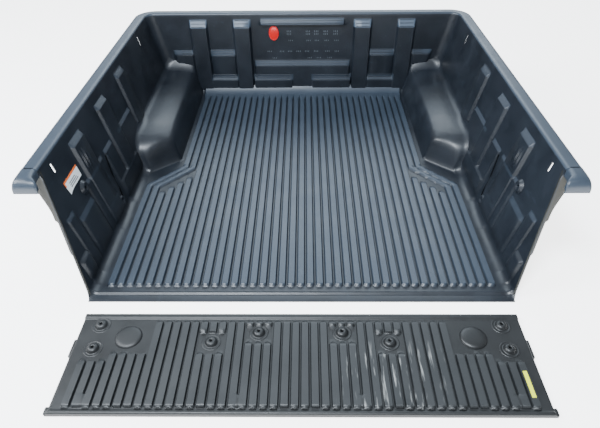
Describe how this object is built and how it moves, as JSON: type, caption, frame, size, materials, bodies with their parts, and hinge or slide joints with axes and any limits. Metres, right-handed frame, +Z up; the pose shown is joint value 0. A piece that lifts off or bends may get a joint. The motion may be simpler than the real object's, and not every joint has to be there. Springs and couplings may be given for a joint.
{
  "type": "truck bed liner",
  "caption": "Formed plastic liner for a pickup bed, with a ribbed floor, leaning walls, wheel housings and flanged rails, and a separate ribbed tailgate liner that swings up.",
  "frame": {"origin": "on the ground, at the middle of the whole object's box, with the tailgate liner lying flat behind the tub", "axes": "+X across the bed, +Y towards the front wall, +Z up"},
  "size_m": [1.716, 1.999, 0.443],
  "materials": {
    "tub_plastic": "pebbled satin black, weathered blue-grey",
    "gate_plastic": "pebbled satin charcoal with pale scuffs",
    "badge_red": "glossy plain red",
    "label_white": "blank white paper label with a plain orange edge",
    "tag_yellow": "plain yellow tape",
    "foam_black": "black closed-cell foam"
  },
  "bodies": {
    "tub": {"bed_tub": "tub_plastic", "header_badge": "badge_red", "wall_label": "label_white", "rail_foam_left": "foam_black", "rail_foam_right": "foam_black", "header_foam": "foam_black"},
    "tailgate_liner": {"tailgate_panel": "gate_plastic", "tailgate_tag": "tag_yellow"}
  },
  "joints": [
    {"name": "tailgate_swing", "type": "hinge", "parent": "tub", "child": "tailgate_liner", "pos_m": [0, -0.6335, 0], "axis": [-1, 0, 0], "range_deg": [0, 90]}
  ]
}
